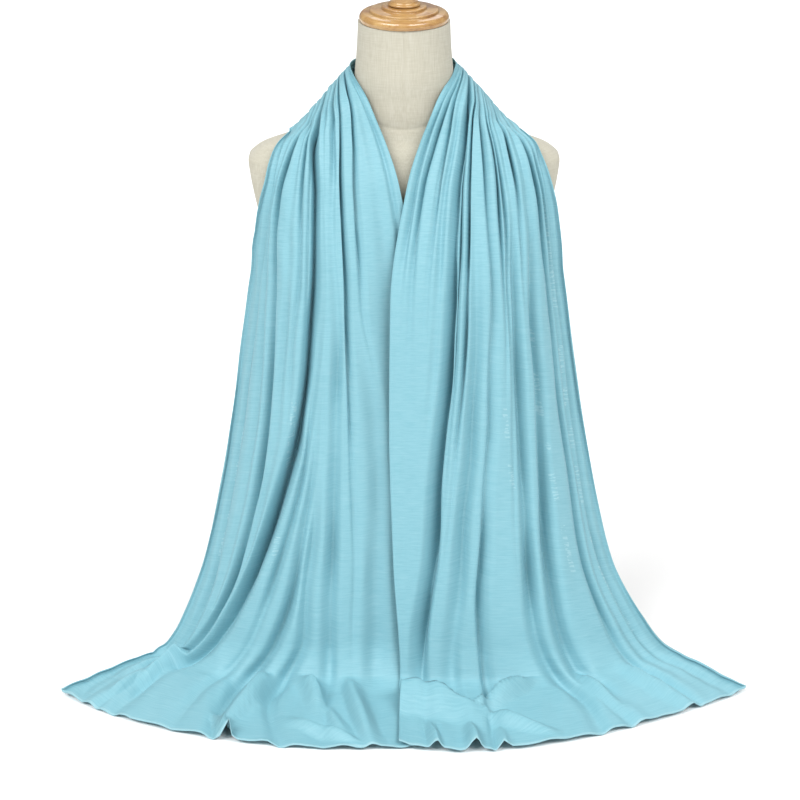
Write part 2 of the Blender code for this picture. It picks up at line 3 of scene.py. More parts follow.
import bpy
import numpy as np
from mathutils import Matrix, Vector


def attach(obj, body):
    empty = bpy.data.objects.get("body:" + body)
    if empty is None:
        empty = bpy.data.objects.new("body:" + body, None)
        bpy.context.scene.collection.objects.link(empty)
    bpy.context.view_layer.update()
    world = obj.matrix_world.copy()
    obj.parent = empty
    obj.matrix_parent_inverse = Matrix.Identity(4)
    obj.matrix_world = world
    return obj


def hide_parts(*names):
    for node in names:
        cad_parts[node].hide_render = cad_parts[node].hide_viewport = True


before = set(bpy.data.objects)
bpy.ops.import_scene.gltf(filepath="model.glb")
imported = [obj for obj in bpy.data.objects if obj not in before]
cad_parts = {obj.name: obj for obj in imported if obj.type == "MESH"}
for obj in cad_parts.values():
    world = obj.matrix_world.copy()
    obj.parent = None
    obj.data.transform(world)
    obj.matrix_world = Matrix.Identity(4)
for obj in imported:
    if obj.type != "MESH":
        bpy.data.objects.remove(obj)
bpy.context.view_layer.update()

MM = 0.001

# The dress form
# A limbless display bust: a hard shell with natural linen stretched over it, sewn down the
# centre front, round the foot of the neck and round the flat arm plates. It carries the scarf.
ROUND_THE_FORM = 216
LINEN_SEAM = 0.7 * MM
CAP_TILT = math.radians(6)
NECK_TOP = 0.766
NECK_CENTRE_Y = -0.008
NECK_SHARE_LOW, NECK_SHARE_SPAN = 0.60, 0.10
NECK_LEAN_LOW = 0.70
PLATE_LOW, PLATE_HIGH = 0.500, 0.606
PLATE_OVERRUN = 0.02
PLATE_HALF_WIDTH_LOW, PLATE_HALF_WIDTH_HIGH = 0.153, 0.1775
NECK_SEAM_LOW = 0.650
NECK_SEAM_BOW = 6.8
NECK_SEAM_RISE_BEHIND = 0.018
CENTRE_SEAM, NECK_SEAM, PLATE_SEAM = 1.6 * MM, 2.0 * MM, 1.8 * MM
FORM_RADIUS = 0.11
EDGE_ANGLE = math.radians(50)

# height, half width, depth to the front, depth to the back, squareness of the corners
FORM_SECTIONS = (
    (0.000, 0.136, 0.090, 0.100, 2.3),
    (0.070, 0.146, 0.096, 0.108, 2.3),
    (0.150, 0.143, 0.094, 0.106, 2.3),
    (0.260, 0.116, 0.082, 0.088, 2.2),
    (0.350, 0.126, 0.088, 0.088, 2.2),
    (0.440, 0.146, 0.101, 0.094, 2.3),
    (0.500, 0.158, 0.099, 0.100, 2.5),
    (0.550, 0.172, 0.088, 0.099, 2.7),
    (0.590, 0.179, 0.075, 0.090, 2.8),
    (0.608, 0.179, 0.067, 0.082, 2.8),
    (0.621, 0.168, 0.061, 0.074, 2.6),
    (0.639, 0.122, 0.050, 0.064, 2.2),
    (0.655, 0.080, 0.046, 0.057, 2.0),
    (0.680, 0.058, 0.046, 0.051, 2.0),
    (0.710, 0.0555, 0.048, 0.050, 2.0),
    (0.740, 0.053, 0.048, 0.048, 2.0),
    (0.766, 0.0518, 0.048, 0.048, 2.0),
)


def smooth_curve(stations, values, places):
    """Cubic curve through values at stations, read at places. Its slope at a station is the
    harmonic mean of the slopes on both sides, or level where they differ in sign."""
    stations = np.asarray(stations, float)
    values = np.asarray(values, float)
    step = np.diff(stations)
    slope = np.diff(values, axis=0) / step.reshape((-1,) + (1,) * (values.ndim - 1))
    tangent = np.zeros_like(values)
    tangent[0] = slope[0]
    tangent[-1] = slope[-1]
    before = slope[:-1]
    after = slope[1:]
    same_way = before * after > 0
    mean = 2 * before * after / np.where(same_way, before + after, 1.0)
    tangent[1:-1] = np.where(same_way, mean, 0.0)
    place = np.clip(places, stations[0], stations[-1])
    index = np.clip(np.searchsorted(stations, place) - 1, 0, len(step) - 1)
    extra = (slice(None),) + (None,) * (values.ndim - 1)
    part = ((place - stations[index]) / step[index])[extra]
    length = step[index][extra]
    rise = 3 * part ** 2 - 2 * part ** 3
    lead = part ** 3 - 2 * part ** 2 + part
    trail = part ** 3 - part ** 2
    ends = values[index] * (1 - rise) + values[index + 1] * rise
    return ends + length * (lead * tangent[index] + trail * tangent[index + 1])


def smooth_step(values):
    """0 below 0, 1 above 1, and 3t^2 - 2t^3 between."""
    t = np.clip(values, 0, 1)
    return t * t * (3 - 2 * t)


# Rows of the form's mesh: from height, to height, how many
FORM_ROWS = ((0.0, 0.49, 50), (0.495, 0.60, 34), (0.602, 0.690, 50), (0.693, NECK_TOP, 26))


def form_section(height):
    """Half width, front, back and squareness of the form at the given heights."""
    table = np.array(FORM_SECTIONS)
    return smooth_curve(table[:, 0], table[:, 1:], np.asarray(height, float))


def neck_share(height):
    """0 on the body and 1 on the neck, which stands a little in front of the body's middle."""
    return smooth_step((np.asarray(height) - NECK_SHARE_LOW) / NECK_SHARE_SPAN)


def grid_piece(name, points, uv, closed_across=False, caps=False):
    """A mesh from a grid of points (rows, columns, 3), with a UV map that holds uv in metres."""
    rows, columns = points.shape[:2]
    index = np.arange(rows * columns).reshape(rows, columns)
    if closed_across:
        index = np.concatenate([index, index[:, :1]], axis=1)
        uv = np.concatenate([uv, uv[:, :1]], axis=1)
    corners = np.stack([index[:-1, :-1], index[:-1, 1:], index[1:, 1:], index[1:, :-1]], axis=-1)
    loops = corners.reshape(-1)
    flat_uv = uv.reshape(-1, 2)
    place = np.arange(index.size).reshape(index.shape)
    uv_corners = np.stack([place[:-1, :-1], place[:-1, 1:], place[1:, 1:], place[1:, :-1]], axis=-1)
    loop_uv = flat_uv[uv_corners.reshape(-1)]
    starts = np.arange(0, len(loops), 4)
    totals = np.full(len(starts), 4)
    if caps:
        low = index[0, :-1][::-1]
        high = index[-1, :-1]
        starts = np.append(starts, [len(loops), len(loops) + len(low)])
        totals = np.append(totals, [len(low), len(high)])
        loops = np.concatenate([loops, low, high])
        loop_uv = np.concatenate([loop_uv, np.zeros((len(low) + len(high), 2))])
    mesh = bpy.data.meshes.new(name)
    mesh.vertices.add(rows * columns)
    mesh.vertices.foreach_set("co", points.reshape(-1))
    mesh.loops.add(len(loops))
    mesh.loops.foreach_set("vertex_index", loops.astype(np.int32))
    mesh.polygons.add(len(starts))
    mesh.polygons.foreach_set("loop_start", starts.astype(np.int32))
    mesh.polygons.foreach_set("loop_total", totals.astype(np.int32))
    mesh.update(calc_edges=True)
    layer = mesh.uv_layers.new(name="cloth_metres")
    layer.data.foreach_set("uv", loop_uv.reshape(-1))
    mesh.validate()
    mesh.shade_smooth()
    piece = bpy.data.objects.new(name, mesh)
    bpy.context.scene.collection.objects.link(piece)
    return piece


def vertex_values(piece, name, values):
    """Keeps one number for each vertex, so that a material can read it by name."""
    attribute = piece.data.attributes.new(name, "FLOAT", "POINT")
    attribute.data.foreach_set("value", np.asarray(values, np.float32).reshape(-1))


def groove(distance, half_width):
    """1 on a line and 0 past half_width from it: (1 - (d / w)^2)^2."""
    return np.clip(1 - (distance / half_width) ** 2, 0, 1) ** 2


def form_surface(heights, angle):
    """Each level is a super-ellipse |x/a|^n + |y/b|^n = 1, cut flat at the arm plates and
    moved forward to the neck's centre line towards the top."""
    section = form_section(heights)
    half_width, front, back, square = (section[:, k][:, None] for k in range(4))
    depth = np.where(np.sin(angle) < 0, front, back)
    power = 2 / square
    x = half_width * np.sign(np.cos(angle)) * np.abs(np.cos(angle)) ** power
    y = depth * np.sign(np.sin(angle)) * np.abs(np.sin(angle)) ** power
    plate_share = np.clip((heights - PLATE_LOW) / (PLATE_HIGH - PLATE_LOW), 0, 1)
    plate = PLATE_HALF_WIDTH_LOW + (PLATE_HALF_WIDTH_HIGH - PLATE_HALF_WIDTH_LOW) * plate_share
    has_plate = (heights >= PLATE_LOW) & (heights < PLATE_HIGH + PLATE_OVERRUN)
    limit = np.where(has_plate, plate, 1.0)[:, None]
    plate_edge = np.abs(np.abs(x) - limit)
    x = np.clip(x, -limit, limit)
    y = y + NECK_CENTRE_Y * neck_share(heights)[:, None]
    lean = np.clip((heights - NECK_LEAN_LOW) / (NECK_TOP - NECK_LEAN_LOW), 0, 1)
    tilt = math.tan(CAP_TILT) * lean[:, None]
    z = heights[:, None] + tilt * (y - NECK_CENTRE_Y)
    return np.stack([x, y, z], axis=-1), plate_edge


form_heights = np.concatenate([np.linspace(*run) for run in FORM_ROWS])
form_angles = 2 * np.pi * (np.arange(ROUND_THE_FORM) + 0.5) / ROUND_THE_FORM
form_points, plate_edge = form_surface(form_heights, form_angles)
from_centre = np.abs(form_points[..., 0])
behind = form_points[..., 1] > 0
neck_seam_height = NECK_SEAM_LOW + NECK_SEAM_BOW * from_centre ** 2 + NECK_SEAM_RISE_BEHIND * behind
neck_seam = np.abs(form_points[..., 2] - neck_seam_height)
seam = np.maximum.reduce([
    groove(from_centre, CENTRE_SEAM), groove(neck_seam, NECK_SEAM), groove(plate_edge, PLATE_SEAM),
])
toward_axis = -form_points * np.array([1.0, 1.0, 0.0])
toward_axis /= np.linalg.norm(toward_axis, axis=-1, keepdims=True) + 1e-9
form_points += toward_axis * (seam * LINEN_SEAM)[..., None]
form_uv = np.stack(np.meshgrid(form_angles * FORM_RADIUS, form_heights), axis=-1)
linen_form = grid_piece("linen_form", form_points, form_uv, closed_across=True, caps=True)
linen_form.data.set_sharp_from_angle(angle=EDGE_ANGLE)
vertex_values(linen_form, "seam", seam)


def new_material(name):
    """A material with its nodes, its links and its Principled shader."""
    material = bpy.data.materials.new(name)
    material.use_nodes = True
    tree = material.node_tree
    return material, tree, tree.nodes["Principled BSDF"]


def set_inputs(shader, settings):
    """Sets the shader's plain inputs by their names."""
    for name, value in settings.items():
        shader.inputs[name].default_value = value


def number(tree, operation, first, second=0.0, third=None):
    """A Math node. Each of first, second and third is a number or another node's socket."""
    node = tree.nodes.new("ShaderNodeMath")
    node.operation = operation
    for socket, value in zip(node.inputs, (first, second, third)):
        if value is None:
            continue
        if isinstance(value, bpy.types.NodeSocket):
            tree.links.new(value, socket)
        else:
            socket.default_value = value
    return node.outputs[0]


def times(tree, value, factor):
    """value times factor, which is a number or a socket."""
    return number(tree, "MULTIPLY", value, factor)


def above(tree, value, level):
    """1 where value is over level, and 0 elsewhere."""
    return number(tree, "GREATER_THAN", value, level)


def blend(tree, first, second, share):
    """share of first with the rest of second."""
    return number(tree, "MULTIPLY_ADD", first, share, times(tree, second, round(1 - share, 6)))


def noise(tree, vector, scale, detail=2.0, roughness=0.5, stretch=(1, 1, 1)):
    """Noise on vector, which is in metres: scale is in features to the metre."""
    mapping = tree.nodes.new("ShaderNodeMapping")
    mapping.inputs["Scale"].default_value = stretch
    tree.links.new(vector, mapping.inputs["Vector"])
    node = tree.nodes.new("ShaderNodeTexNoise")
    node.inputs["Scale"].default_value = scale
    node.inputs["Detail"].default_value = detail
    node.inputs["Roughness"].default_value = roughness
    tree.links.new(mapping.outputs["Vector"], node.inputs["Vector"])
    return node.outputs["Fac"]


def colours(tree, value, stops):
    """A colour ramp from (place, colour) stops."""
    node = tree.nodes.new("ShaderNodeValToRGB")
    ramp = node.color_ramp
    while len(ramp.elements) < len(stops):
        ramp.elements.new(0.5)
    for element, (place, colour) in zip(ramp.elements, stops):
        element.position = place
        element.color = (*colour, 1.0)
    tree.links.new(value, node.inputs["Fac"])
    return node.outputs["Color"]


def mixed(tree, share, first, second):
    """second over first by share; each colour is three numbers or a socket."""
    node = tree.nodes.new("ShaderNodeMix")
    node.data_type = "RGBA"
    for socket, value in ((node.inputs[0], share), (node.inputs[6], first), (node.inputs[7], second)):
        if isinstance(value, bpy.types.NodeSocket):
            tree.links.new(value, socket)
        elif socket.type == "RGBA":
            socket.default_value = (*value, 1.0)
        else:
            socket.default_value = value
    return node.outputs[2]


def bumped(tree, shader, height, distance, strength=1.0):
    """Relief from height, 0 to 1, that is distance deep in metres."""
    node = tree.nodes.new("ShaderNodeBump")
    node.inputs["Strength"].default_value = strength
    node.inputs["Distance"].default_value = distance
    tree.links.new(height, node.inputs["Height"])
    tree.links.new(node.outputs["Normal"], shader.inputs["Normal"])


def stored(tree, name):
    """The number that vertex_values keeps under name."""
    node = tree.nodes.new("ShaderNodeAttribute")
    node.attribute_name = name
    return node.outputs["Fac"]


LINEN_LIGHT = (0.460, 0.438, 0.356)
LINEN_DARK = (0.400, 0.374, 0.298)
LINEN_SLUB = (0.510, 0.492, 0.420)
LINEN_THREAD = 0.9 * MM
LINEN_RELIEF = 0.15 * MM
SLUB_LEVEL = 0.62
SLUB_SHARE = CLOUD_SHARE = SEAM_SHADE = 0.35

linen, tree, shader = new_material("natural_linen")
coordinates = tree.nodes.new("ShaderNodeTexCoord").outputs["Object"]
warp = noise(tree, coordinates, scale=1 / LINEN_THREAD, detail=1, stretch=(1, 1, 0.05))
weft = noise(tree, coordinates, scale=1 / LINEN_THREAD, detail=1, stretch=(0.05, 0.05, 1))
slub = noise(tree, coordinates, scale=260, detail=3, roughness=0.6, stretch=(1, 1, 0.10))
cloud = noise(tree, coordinates, scale=14)
weave = blend(tree, warp, weft, share=0.6)
base = colours(tree, weave, ((0.30, LINEN_DARK), (0.52, LINEN_LIGHT), (0.70, LINEN_SLUB)))
base = mixed(tree, times(tree, cloud, CLOUD_SHARE), base, LINEN_LIGHT)
base = mixed(tree, times(tree, above(tree, slub, SLUB_LEVEL), SLUB_SHARE), base, LINEN_SLUB)
base = mixed(tree, times(tree, stored(tree, "seam"), SEAM_SHADE), base, LINEN_DARK)
tree.links.new(base, shader.inputs["Base Color"])
set_inputs(shader, {"Roughness": 0.9, "Sheen Weight": 0.1})
relief = number(tree, "MULTIPLY_ADD", slub, 0.6, weave)
bumped(tree, shader, relief, distance=LINEN_RELIEF, strength=0.4)
linen_form.data.materials.append(linen)
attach(linen_form, "root")
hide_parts("form_torso")


# The neck cap and its knob
# Both are turned from one light wood, sanded and varnished honey brown. The cap is glued on
# the neck, and the knob stands in a hole in the middle of the cap.
CAP_HEIGHT = 17.0 * MM
SEAM_GAP = 0.3 * MM
ROUND_THE_CAP = 128
AXIS_HOLE = 0.02 * MM


def bead(centre_radius, centre_height, radius, start, end, steps):
    """A round moulding: points on a circle, between two angles in degrees, as (radius, height)."""
    angles = np.radians(np.linspace(start, end, steps + 1))
    return np.stack([
        centre_radius + radius * np.cos(angles), centre_height + radius * np.sin(angles),
    ], axis=1)


def turned_piece(name, profile, foot):
    """A profile of (radius, height), top to bottom, turned about the neck's leaning axis."""
    profile = np.concatenate([np.atleast_2d(run) for run in profile]) * MM
    angle = 2 * np.pi * np.arange(ROUND_THE_CAP) / ROUND_THE_CAP
    radius = np.maximum(profile[::-1, 0], AXIS_HOLE)[:, None]
    height = profile[::-1, 1][:, None] + 0 * angle
    x = radius * np.cos(angle)
    side = radius * np.sin(angle)
    y = foot[1] + side * math.cos(CAP_TILT) - height * math.sin(CAP_TILT)
    z = foot[2] + side * math.sin(CAP_TILT) + height * math.cos(CAP_TILT)
    points = np.stack([x, y, z], axis=-1)
    uv = np.stack([radius * angle, height], axis=-1)
    return grid_piece(name, points, uv, closed_across=True, caps=True)


cap_up = np.array([0.0, -math.sin(CAP_TILT), math.cos(CAP_TILT)])
neck_top = np.array([0.0, NECK_CENTRE_Y, NECK_TOP])

# Profiles in mm. The cap has two steps, each with a rounded edge and a hollow at its foot, and
# the knob is a ball on a short foot.
cap_profile = (
    (0.0, 17.0), (23.2, 17.0), bead(23.7, 15.2, 1.8, 80, 0, 6), (25.5, 14.4),
    bead(26.5, 14.4, 1.0, 180, 262, 4), (36.6, 13.1), bead(37.4, 11.5, 1.6, 85, 0, 6), (39.0, 10.6),
    bead(40.0, 10.6, 0.9, 180, 250, 4), bead(44.0, 3.5, 6.5, 72, -8, 14),
    bead(48.9, 1.1, 1.1, 20, -90, 5), (0.0, 0.0),
)
knob_profile = (
    (0.0, 47.0), bead(0.0, 27.0, 20.0, 88, -38, 40), bead(16.6, 13.4, 1.3, 160, 210, 4),
    (15.2, 11.0), (15.1, 7.0), bead(18.1, 6.0, 3.0, 180, 238, 6),
    bead(16.9, 1.6, 1.6, 55, -90, 8), (0.0, 0.0),
)
neck_cap_turned = turned_piece("turned_cap", cap_profile, neck_top + cap_up * SEAM_GAP)
knob_turned = turned_piece("turned_knob", knob_profile, neck_top + cap_up * (CAP_HEIGHT + 2 * SEAM_GAP))

WOOD_PALE = (0.515, 0.325, 0.120)
WOOD_HONEY = (0.395, 0.212, 0.064)
WOOD_DARK = (0.240, 0.097, 0.028)
PORE_LEVEL, PORE_SHARE = 0.64, 0.45
WOOD_RELIEF = 0.10 * MM

wood, tree, shader = new_material("varnished_honey_wood")
coordinates = tree.nodes.new("ShaderNodeTexCoord").outputs["Object"]
figure = noise(tree, coordinates, scale=60, detail=3, roughness=0.55, stretch=(0.35, 1, 1.6))
fibre = noise(tree, coordinates, scale=900, roughness=0.6, stretch=(0.06, 1, 1))
pores = noise(tree, coordinates, scale=1500, detail=1, stretch=(0.10, 1, 1))
grain = blend(tree, fibre, figure, share=0.35)
base = colours(tree, grain, ((0.34, WOOD_DARK), (0.47, WOOD_HONEY), (0.62, WOOD_PALE)))
base = mixed(tree, times(tree, above(tree, pores, PORE_LEVEL), PORE_SHARE), base, WOOD_DARK)
tree.links.new(base, shader.inputs["Base Color"])
set_inputs(shader, {"Roughness": 0.38, "Coat Weight": 0.8, "Coat Roughness": 0.12})
bumped(tree, shader, fibre, distance=WOOD_RELIEF, strength=0.3)
for piece, node in ((neck_cap_turned, "neck_cap"), (knob_turned, "cap_knob")):
    piece.data.set_sharp_from_angle(angle=EDGE_ANGLE)
    piece.data.materials.append(wood)
    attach(piece, "root")
    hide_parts(node)


# The headscarf
# One length of light aqua jersey, 1.9 m by 0.46 m, with curling selvedges and an overlocked hem
# at each end. It is gathered round the nape and hangs in two falls, the right one lapped over.
SCARF_WIDTH, SCARF_LENGTH = 0.46, 1.90
JERSEY = 0.7 * MM
# The mesh: columns across the cloth, the least between two valleys, and rows in each stretch
# between two levels, from crest to hem and then round the nape
COLUMNS = 160
COLUMNS_LEAST = 4
ROWS_IN_STRETCH = (9, 8, 11, 13, 12, 12, 12, 12, 17, 38)
ROWS_AT_NAPE = 5
FORM_CLEARANCE = 0.8 * MM
INNER_CURL, OUTER_CURL = 2.6 * MM, 8.5 * MM
CURL_RADIUS = 2.2 * MM
CURL_UNEVENNESS = 0.15
# At the crest the outer curl is this share of its size, and it grows to full size over a length
CURL_AT_CREST, CURL_GROWS_FROM, CURL_GROWS_OVER = 0.25, 0.03, 0.10
CURL_TAKE_UP = 0.8
OVERLOCK_WIDTH = 3.5 * MM
# How the folds vary on their way down: in depth (share), to the side, and in and out of the cloth
DEPTH_UNEVENNESS = 0.22
SWAY = 1.2 * MM
DRIFT = 0.5 * MM
# Where valleys meet, their depths add as a 4-norm, so the deeper one wins
DIP_POWER = 4
# Folds keep to these shares of their width at the bust
SPREAD_LEAST, SPREAD_MOST = 0.32, 1.6
# The cloth counts as lying on the surface under the first height, fully so a blend below it
LYING_HEIGHT, LYING_BLEND = 0.030, 0.015
HEM_FLUTE, HEM_FLUTE_REACH = 2.6 * MM, 0.035
CRUMPLE = 0.5 * MM
FORM_FOOT_CLEAR = 0.01

# Levels from the shoulder crest to the hem. At each the cloth runs through four places, from
# its inner edge to its outer edge (x, y, z)
LEVEL_NAMES = ("crest", "collar", "yoke", "chest", "bust", "waist", "hip", "knee", "ankle", "floor", "hem")
LEFT_LEVELS = (
    ((-0.059, 0.003, 0.712), (-0.080, 0.004, 0.692), (-0.101, 0.006, 0.666), (-0.126, 0.006, 0.641)),
    ((-0.0435, -0.047, 0.675), (-0.070, -0.050, 0.676), (-0.096, -0.040, 0.656), (-0.127, -0.014, 0.637)),
    ((-0.0265, -0.060, 0.642), (-0.063, -0.066, 0.645), (-0.101, -0.061, 0.641), (-0.136, -0.042, 0.628)),
    ((-0.0068, -0.088, 0.5897), (-0.056, -0.097, 0.590), (-0.108, -0.090, 0.587), (-0.1535, -0.062, 0.583)),
    ((0.012, -0.106, 0.470), (-0.050, -0.126, 0.474), (-0.118, -0.120, 0.469), (-0.1737, -0.050, 0.4527)),
    ((0.014, -0.110, 0.323), (-0.055, -0.134, 0.324), (-0.132, -0.124, 0.318), (-0.1975, -0.048, 0.2957)),
    ((0.016, -0.118, 0.168), (-0.065, -0.140, 0.168), (-0.155, -0.124, 0.160), (-0.2315, -0.048, 0.134)),
    ((0.018, -0.124, 0.072), (-0.076, -0.143, 0.070), (-0.176, -0.124, 0.064), (-0.260, -0.048, 0.055)),
    ((0.019, -0.136, 0.028), (-0.081, -0.153, 0.030), (-0.190, -0.129, 0.027), (-0.279, -0.047, 0.019)),
    ((0.020, -0.168, 0.003), (-0.087, -0.177, 0.011), (-0.202, -0.143, 0.011), (-0.299, -0.055, 0.004)),
    ((0.022, -0.279, 0.001), (-0.123, -0.282, 0.0025), (-0.270, -0.234, 0.0025), (-0.3975, -0.138, 0.001)),
)
RIGHT_LEVELS = (
    ((0.058, 0.003, 0.713), (0.080, 0.004, 0.693), (0.102, 0.006, 0.667), (0.126, 0.006, 0.644)),
    ((0.040, -0.049, 0.677), (0.069, -0.050, 0.678), (0.098, -0.040, 0.658), (0.130, -0.014, 0.639)),
    ((0.0222, -0.062, 0.642), (0.062, -0.066, 0.645), (0.105, -0.061, 0.643), (0.1425, -0.043, 0.629)),
    ((0.0043, -0.090, 0.5897), (0.057, -0.098, 0.590), (0.112, -0.091, 0.587), (0.162, -0.062, 0.583)),
    ((-0.0146, -0.127, 0.4712), (0.048, -0.137, 0.474), (0.119, -0.122, 0.469), (0.1805, -0.050, 0.4527)),
    ((-0.0159, -0.135, 0.322), (0.055, -0.145, 0.324), (0.133, -0.127, 0.318), (0.2046, -0.048, 0.2957)),
    ((-0.0115, -0.140, 0.167), (0.070, -0.148, 0.168), (0.160, -0.127, 0.160), (0.240, -0.048, 0.134)),
    ((-0.005, -0.145, 0.072), (0.084, -0.150, 0.070), (0.190, -0.128, 0.064), (0.283, -0.048, 0.055)),
    ((-0.003, -0.149, 0.032), (0.091, -0.156, 0.030), (0.207, -0.132, 0.028), (0.308, -0.050, 0.019)),
    ((-0.004, -0.172, 0.013), (0.098, -0.181, 0.012), (0.222, -0.148, 0.011), (0.330, -0.064, 0.004)),
    ((-0.005, -0.281, 0.005), (0.127, -0.285, 0.0035), (0.270, -0.221, 0.0025), (0.3978, -0.130, 0.001)),
)
NAPE_LEVELS = (
    ((-0.045, 0.040, 0.718), (-0.057, 0.047, 0.696), (-0.070, 0.054, 0.670), (-0.086, 0.064, 0.643)),
    ((0.000, 0.053, 0.722), (0.000, 0.059, 0.699), (0.000, 0.066, 0.673), (0.000, 0.076, 0.645)),
    ((0.045, 0.040, 0.719), (0.057, 0.047, 0.697), (0.070, 0.054, 0.671), (0.086, 0.064, 0.644)),
)

# The valleys between the folds. Each row: name, how far the valley lies from the middle at
# each level from crest to hem (mm), its depth there (mm), its half width towards the inner and
# the outer edge at the bust (mm), how soft its bottom is, and how far it leans outwards as a
# share of its depth
LEFT_FOLDS = (
    ("neckline roll", (62, 47, 31, 14, 2, 0, 0, 0, 0, 0, 0),
     (2, 4, 5, 4, 1, 0, 0, 0, 0, 0, 0), 7, 9, 0.6, 0),
    ("lapel dip", (64, 52, 42, 31, 19, 12, 12, 12, 12, 12, 12),
     (1, 1, 2, 2, 2, 0, 0, 0, 0, 0, 0), 14, 14, 0.8, 0),
    ("inner slot", (67, 59, 56, 53, 45, 24, 23, 23, 23, 23, 23),
     (8, 13, 19, 17, 4, 0, 0, 0, 0, 0, 0), 5, 7, 0.25, 0.3),
    ("centre dip", (70, 63, 61, 60, 53, 32, 31, 32, 32, 31, 30),
     (1, 2, 1, 0, 0, 4, 7, 8, 6, 3, 1), 14, 14, 0.6, 0),
    ("long slot", (73, 70, 69, 68, 63, 58, 57, 56, 56, 56, 55),
     (8, 11, 12, 15, 16, 6, 3, 2, 1, 0, 0), 5, 6, 0.25, 0.3),
    ("soft groove", (75, 74, 74, 73, 69, 66, 66, 66, 67, 68, 70),
     (1, 1, 2, 2, 2, 1, 0, 0, 0, 0, 0), 9, 9, 0.7, 0),
    ("soft trough", (77, 78, 79, 79, 75, 76, 83, 85, 88, 89, 90),
     (7, 11, 8, 3, 5, 9, 12, 12, 10, 7, 2), 9, 11, 0.5, 0),
    ("low inner", (79, 81, 84, 84, 82, 92, 108, 116, 134, 144, 138),
     (1, 1, 1, 1, 0, 1, 9, 12, 14, 13, 6), 9, 11, 0.4, 0.2),
    ("low outer", (81, 84, 88, 88, 87, 98, 119, 145, 170, 188, 212),
     (5, 6, 2, 1, 0, 4, 13, 17, 17, 15, 6), 8, 12, 0.3, 0.3),
    ("roll edge", (83, 87, 91, 91, 91, 104, 142, 176, 200, 216, 262),
     (1, 1, 1, 2, 4, 9, 10, 7, 6, 5, 2), 7, 9, 0.3, 0.4),
    ("main valley", (86, 91, 96, 96, 96, 116, 168, 214, 245, 268, 330),
     (12, 18, 22, 20, 27, 34, 29, 22, 18, 14, 4), 9, 17, 0.25, 0.4),
    ("slant crease", (89, 94, 100, 104, 107, 124, 174, 219, 250, 273, 336),
     (2, 2, 4, 7, 5, 0, 0, 0, 0, 0, 0), 5, 6, 0.4, 0.2),
    ("shoulder split", (92, 98, 106, 113, 120, 134, 180, 224, 254, 278, 342),
     (1, 2, 6, 8, 5, 1, 0, 0, 0, 0, 0), 5, 7, 0.5, 0.1),
    ("shoulder tuck", (95, 102, 111, 123, 132, 146, 186, 229, 258, 283, 348),
     (6, 6, 3, 2, 3, 4, 3, 1, 0, 0, 0), 9, 9, 0.6, 0),
    ("shoulder slot", (99, 106, 118, 138, 147, 158, 192, 234, 262, 288, 354),
     (9, 13, 13, 10, 10, 15, 16, 13, 11, 9, 3), 7, 11, 0.3, 0.3),
    ("arm groove", (108, 115, 127, 146, 159, 172, 205, 241, 267, 293, 366),
     (2, 2, 2, 3, 4, 4, 3, 2, 2, 1, 0), 8, 9, 0.6, 0),
    ("outer curl", (120, 127, 134, 149, 167, 189, 221, 250, 272, 298, 382),
     (5, 5, 4, 4, 5, 6, 7, 7, 6, 4, 1), 8, 8, 0.5, 0),
)
